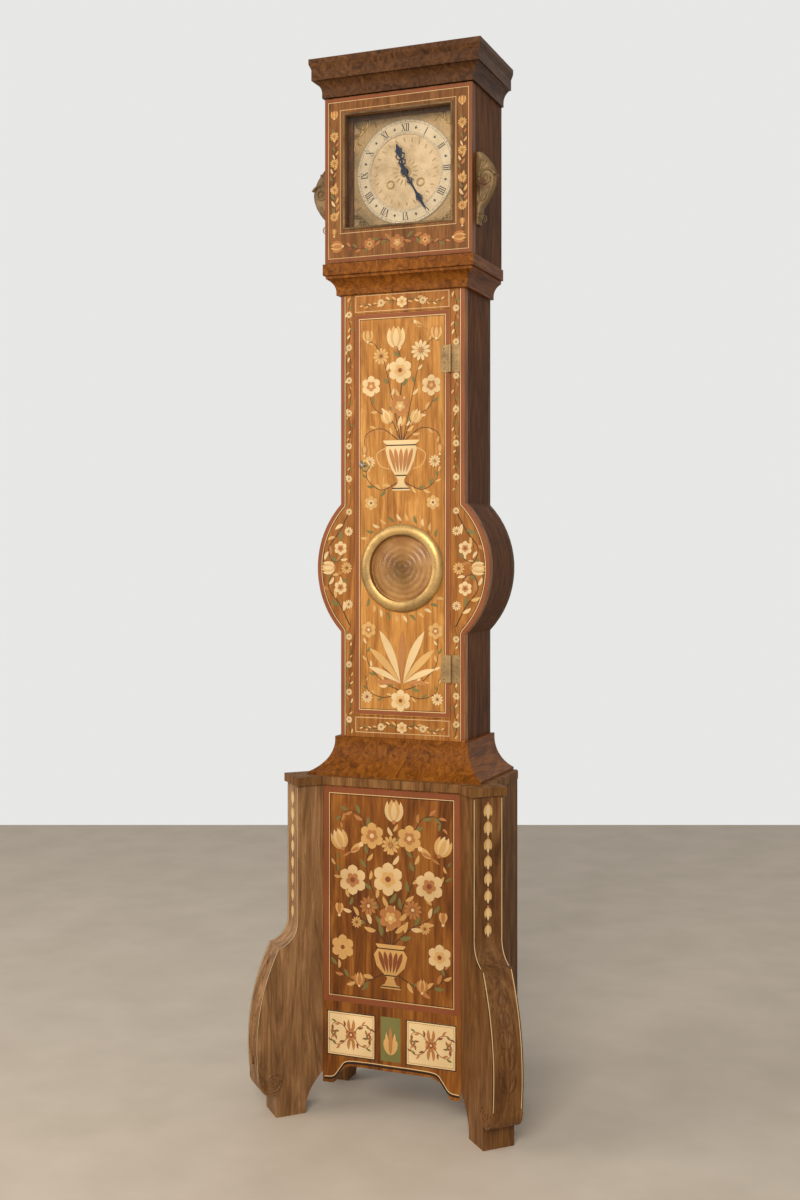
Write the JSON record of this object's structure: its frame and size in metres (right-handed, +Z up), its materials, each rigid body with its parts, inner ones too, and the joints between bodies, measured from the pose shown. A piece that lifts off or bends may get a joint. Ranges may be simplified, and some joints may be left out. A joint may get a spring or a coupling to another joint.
{
  "type": "tall case clock",
  "caption": "Tall marquetry case clock with a sliding flat-topped hood, a trunk swelled round a glazed sight hole, diagonal scroll legs and a weight-driven pendulum movement.",
  "frame": {"origin": "on the floor, at the centre of the clock's footprint", "axes": "+Z up, the clock faces -Y, +X to the right as seen from the front"},
  "size_m": [0.6382, 0.346, 2.335],
  "materials": {
    "marquetry": "floral marquetry in pale and dark woods, waxed",
    "walnut": "walnut veneer, waxed",
    "oak": "plain oak, unpolished",
    "gilt": "carved wood with worn gilding",
    "bezel_brass": "moulded ring, dull",
    "brass": "polished, slightly aged",
    "dial_brass": "matted and aged",
    "weight_brass": "brass case round lead",
    "bell_metal": "bell metal, dull",
    "silvered": "silvered brass, matt",
    "steel": "filed and polished",
    "blued_steel": "blued",
    "glass": "clear old glass",
    "gut": "twisted gut"
  },
  "bodies": {
    "case": {"backboard": "oak", "trunk_side_left": "walnut", "trunk_side_right": "walnut", "trunk_stile_left": "marquetry", "trunk_stile_right": "marquetry", "trunk_rails": "marquetry", "waist_moulding": "walnut", "hood_seat_moulding": "walnut", "base_boards": "oak", "base_front_panel": "marquetry", "front_apron": "marquetry", "base_side_left": "walnut", "base_side_right": "walnut", "front_leg_left": "marquetry", "front_leg_right": "marquetry", "back_feet": "walnut", "seatboard": "oak", "trunk_door_hinges": "brass", "dial_plate": "dial_brass", "chapter_ring": "silvered", "front_plate": "brass", "back_plate": "brass", "back_cock": "brass", "bell": "bell_metal", "going_line": "gut", "strike_line": "gut"},
    "trunk_door": {"trunk_door": "marquetry", "lenticle_bezel": "bezel_brass", "lenticle_glass": "glass", "door_hinge_leaves": "brass", "door_lock": "steel"},
    "lock_bolt": {"lock_bolt": "steel"},
    "door_key": {"door_key": "steel"},
    "hood": {"hood_base_frame": "walnut", "hood_sides": "walnut", "hood_mask": "walnut", "hood_cornice": "walnut", "hood_consoles": "gilt"},
    "hood_door": {"hood_door_frame": "marquetry", "hood_door_glass": "glass"},
    "minute_hand": {"minute_hand": "blued_steel", "centre_wheel": "brass"},
    "hour_hand": {"hour_hand": "blued_steel"},
    "pendulum": {"pendulum_rod": "steel", "pendulum_bob": "brass"},
    "minute_wheel": {"minute_wheel": "brass"},
    "third_wheel": {"third_wheel": "brass"},
    "escape_wheel": {"escape_wheel": "brass"},
    "going_great_wheel": {"going_great_wheel": "brass"},
    "going_barrel": {"going_barrel": "brass"},
    "strike_great_wheel": {"strike_great_wheel": "brass"},
    "strike_barrel": {"strike_barrel": "brass"},
    "pin_wheel": {"pin_wheel": "brass"},
    "fly": {"fly": "brass"},
    "hammer": {"hammer": "steel"},
    "anchor": {"anchor": "steel"},
    "going_weight": {"going_weight": "weight_brass"},
    "strike_weight": {"strike_weight": "weight_brass"},
    "going_pulley": {"going_pulley": "brass"},
    "strike_pulley": {"strike_pulley": "brass"}
  },
  "joints": [
    {"name": "trunk_door_hinge", "type": "hinge", "parent": "case", "child": "trunk_door", "pos_m": [0.115, -0.00627, 1.32], "axis": [0, 0, 1], "range_deg": [0, 100]},
    {"name": "key_turn", "type": "hinge", "parent": "trunk_door", "child": "door_key", "pos_m": [-0.088, 0.02103, 1.43], "axis": [0, 1, 0], "range_deg": [0, 90]},
    {"name": "bolt_slide", "type": "slide", "parent": "trunk_door", "child": "lock_bolt", "axis": [-1, 0, 0], "range_m": [0, 0.008]},
    {"name": "hood_slide", "type": "slide", "parent": "case", "child": "hood", "axis": [0, -1, 0], "range_m": [0, 0.26]},
    {"name": "hood_door_hinge", "type": "hinge", "parent": "hood", "child": "hood_door", "pos_m": [0.172, -0.01197, 2.066], "axis": [0, 0, 1], "range_deg": [0, 95]},
    {"name": "minute_hand_turn", "type": "hinge", "parent": "case", "child": "minute_hand", "pos_m": [0, 0.08303, 2.084], "axis": [0, 1, 0], "continuous": true},
    {"name": "hour_hand_turn", "type": "hinge", "parent": "case", "child": "hour_hand", "pos_m": [0, 0.08303, 2.084], "axis": [0, 1, 0], "continuous": true},
    {"name": "minute_wheel_turn", "type": "hinge", "parent": "case", "child": "minute_wheel", "pos_m": [0, 0.08303, 2.0573], "axis": [0, 1, 0], "continuous": true},
    {"name": "third_wheel_turn", "type": "hinge", "parent": "case", "child": "third_wheel", "pos_m": [0.018, 0.08303, 2.111], "axis": [0, 1, 0], "continuous": true},
    {"name": "escape_wheel_turn", "type": "hinge", "parent": "case", "child": "escape_wheel", "pos_m": [0, 0.08303, 2.138], "axis": [0, 1, 0], "continuous": true},
    {"name": "going_great_wheel_turn", "type": "hinge", "parent": "case", "child": "going_great_wheel", "pos_m": [0.036, 0.08303, 2.058], "axis": [0, 1, 0], "continuous": true},
    {"name": "strike_great_wheel_turn", "type": "hinge", "parent": "case", "child": "strike_great_wheel", "pos_m": [-0.036, 0.08303, 2.058], "axis": [0, 1, 0], "continuous": true},
    {"name": "pin_wheel_turn", "type": "hinge", "parent": "case", "child": "pin_wheel", "pos_m": [-0.044, 0.08303, 2.1017], "axis": [0, 1, 0], "continuous": true},
    {"name": "fly_turn", "type": "hinge", "parent": "case", "child": "fly", "pos_m": [-0.036, 0.08303, 2.126], "axis": [0, 1, 0], "continuous": true},
    {"name": "hammer_swing", "type": "hinge", "parent": "case", "child": "hammer", "pos_m": [-0.052, 0.08303, 2.129], "axis": [0, -1, 0], "range_deg": [-2, 10], "stiffness_Nm_per_rad": 0.2},
    {"name": "pendulum_swing", "type": "hinge", "parent": "case", "child": "pendulum", "pos_m": [0, 0.08303, 2.17], "axis": [0, 1, 0], "range_deg": [-3, 3]},
    {"name": "anchor_rock", "type": "hinge", "parent": "case", "child": "anchor", "pos_m": [0, 0.08303, 2.17], "axis": [0, 1, 0], "range_deg": [-3, 3]},
    {"name": "going_weight_fall", "type": "slide", "parent": "case", "child": "going_weight", "axis": [0, 0, 1], "range_m": [0, 1.3], "deforming": ["going_line"]},
    {"name": "strike_weight_fall", "type": "slide", "parent": "case", "child": "strike_weight", "axis": [0, 0, 1], "range_m": [0, 1.3], "deforming": ["strike_line"]},
    {"name": "going_barrel_turn", "type": "hinge", "parent": "case", "child": "going_barrel", "pos_m": [0.036, 0.08303, 2.058], "axis": [0, 1, 0], "range_deg": [0, 7500]},
    {"name": "strike_barrel_turn", "type": "hinge", "parent": "case", "child": "strike_barrel", "pos_m": [-0.036, 0.08303, 2.058], "axis": [0, 1, 0], "range_deg": [0, 7500]},
    {"name": "going_pulley_turn", "type": "hinge", "parent": "going_weight", "child": "going_pulley", "pos_m": [0.036, 0.09103, 0.56], "axis": [0, 1, 0], "range_deg": [0, 3800]},
    {"name": "strike_pulley_turn", "type": "hinge", "parent": "strike_weight", "child": "strike_pulley", "pos_m": [-0.036, 0.09103, 0.56], "axis": [0, 1, 0], "range_deg": [0, 3800]}
  ],
  "couplings": [
    {"joint": "key_turn", "follows": "bolt_slide", "rad_per_m": 196.35},
    {"joint": "hour_hand_turn", "follows": "minute_hand_turn", "ratio": 0.083333},
    {"joint": "minute_wheel_turn", "follows": "minute_hand_turn", "ratio": -1},
    {"joint": "third_wheel_turn", "follows": "minute_hand_turn", "ratio": -8},
    {"joint": "escape_wheel_turn", "follows": "minute_hand_turn", "ratio": 60},
    {"joint": "going_great_wheel_turn", "follows": "minute_hand_turn", "ratio": -0.083333},
    {"joint": "pin_wheel_turn", "follows": "strike_great_wheel_turn", "ratio": -12},
    {"joint": "fly_turn", "follows": "strike_great_wheel_turn", "ratio": 96},
    {"joint": "anchor_rock", "follows": "pendulum_swing", "ratio": 1},
    {"joint": "going_barrel_turn", "follows": "going_weight_fall", "rad_per_m": 100},
    {"joint": "strike_barrel_turn", "follows": "strike_weight_fall", "rad_per_m": 100},
    {"joint": "going_pulley_turn", "follows": "going_weight_fall", "rad_per_m": 50},
    {"joint": "strike_pulley_turn", "follows": "strike_weight_fall", "rad_per_m": 50}
  ]
}
